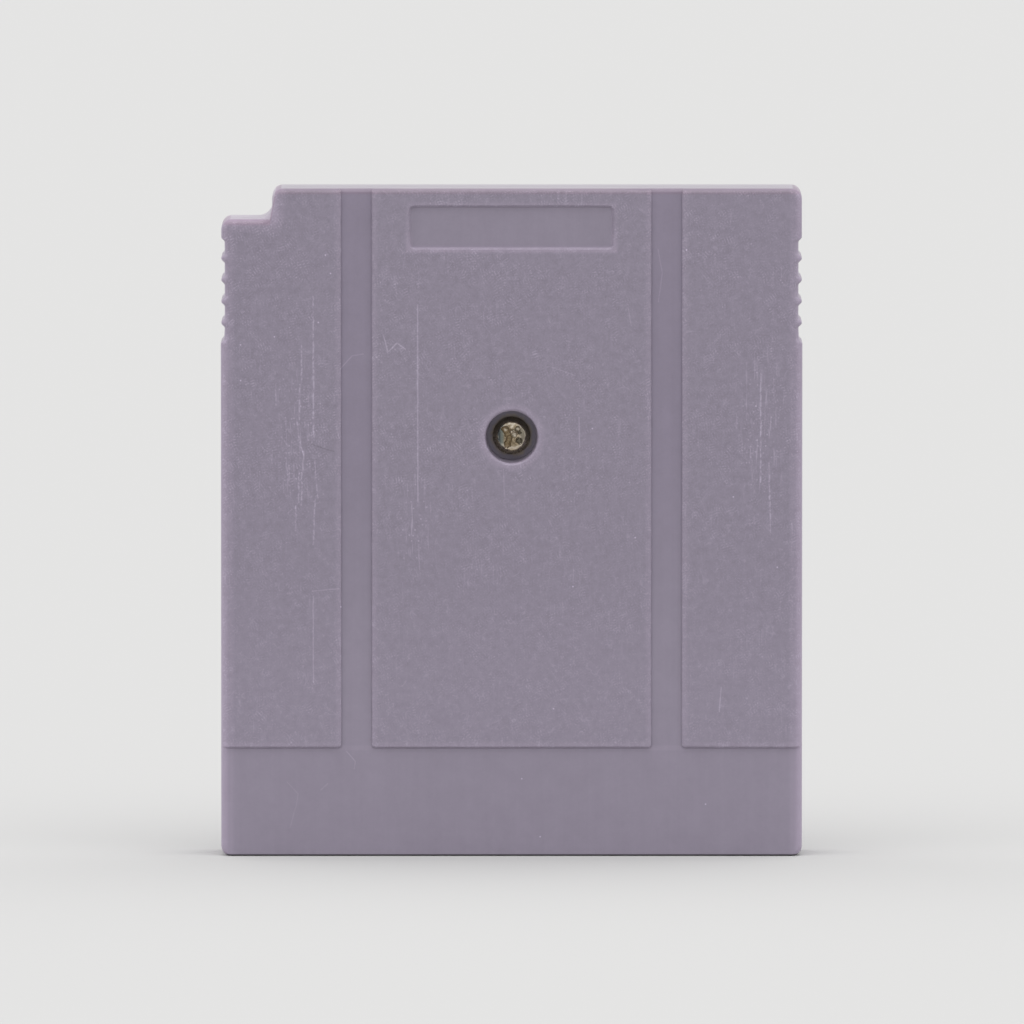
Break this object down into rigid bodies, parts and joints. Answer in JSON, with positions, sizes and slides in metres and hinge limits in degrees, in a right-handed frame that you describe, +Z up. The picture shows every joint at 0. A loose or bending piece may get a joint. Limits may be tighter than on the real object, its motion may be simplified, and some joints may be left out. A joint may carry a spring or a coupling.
{
  "type": "game cartridge",
  "caption": "Flat handheld-console game cartridge in grey plastic, with raised back pads, a sunk screw, side grips, a notched corner and an open connector mouth.",
  "frame": {"origin": "middle of the bottom edge, the edge with the connector mouth, at mid thickness of the bounding box", "axes": "+Z up from the mouth edge to the top edge, +X across to the right as seen from the screw side, +Y through the thickness from the screw side to the label side"},
  "size_m": [0.0568, 0.0078, 0.0655],
  "materials": {
    "case_plastic": "moulded ABS with a fine spark-eroded grain",
    "screw_metal": "nickel plated, tarnished",
    "board_laminate": "glass epoxy laminate with solder mask",
    "contact_gold": "gold plated copper",
    "chip_epoxy": "moulded epoxy",
    "tinned_lead": "tin plated copper alloy",
    "cell_steel": "pressed stainless steel",
    "tab_nickel": "nickel strip",
    "capacitor_ceramic": "fired ceramic",
    "resistor_glaze": "glazed thick film"
  },
  "bodies": {
    "root": {"front_shell": "case_plastic", "back_shell": "case_plastic", "case_screw": "screw_metal", "circuit_board": "board_laminate", "edge_contacts": "contact_gold", "rom_chip": "chip_epoxy", "ram_chip": "chip_epoxy", "mapper_chip": "chip_epoxy", "supervisor_chip": "chip_epoxy", "rom_leads": "tinned_lead", "ram_leads": "tinned_lead", "mapper_leads": "tinned_lead", "supervisor_leads": "tinned_lead", "coin_cell": "cell_steel", "cell_top_tab": "tab_nickel", "cell_base_tab": "tab_nickel", "capacitors": "capacitor_ceramic", "capacitor_ends": "tinned_lead", "resistors": "resistor_glaze", "resistor_ends": "tinned_lead", "diode": "chip_epoxy"}
  },
  "joints": []
}
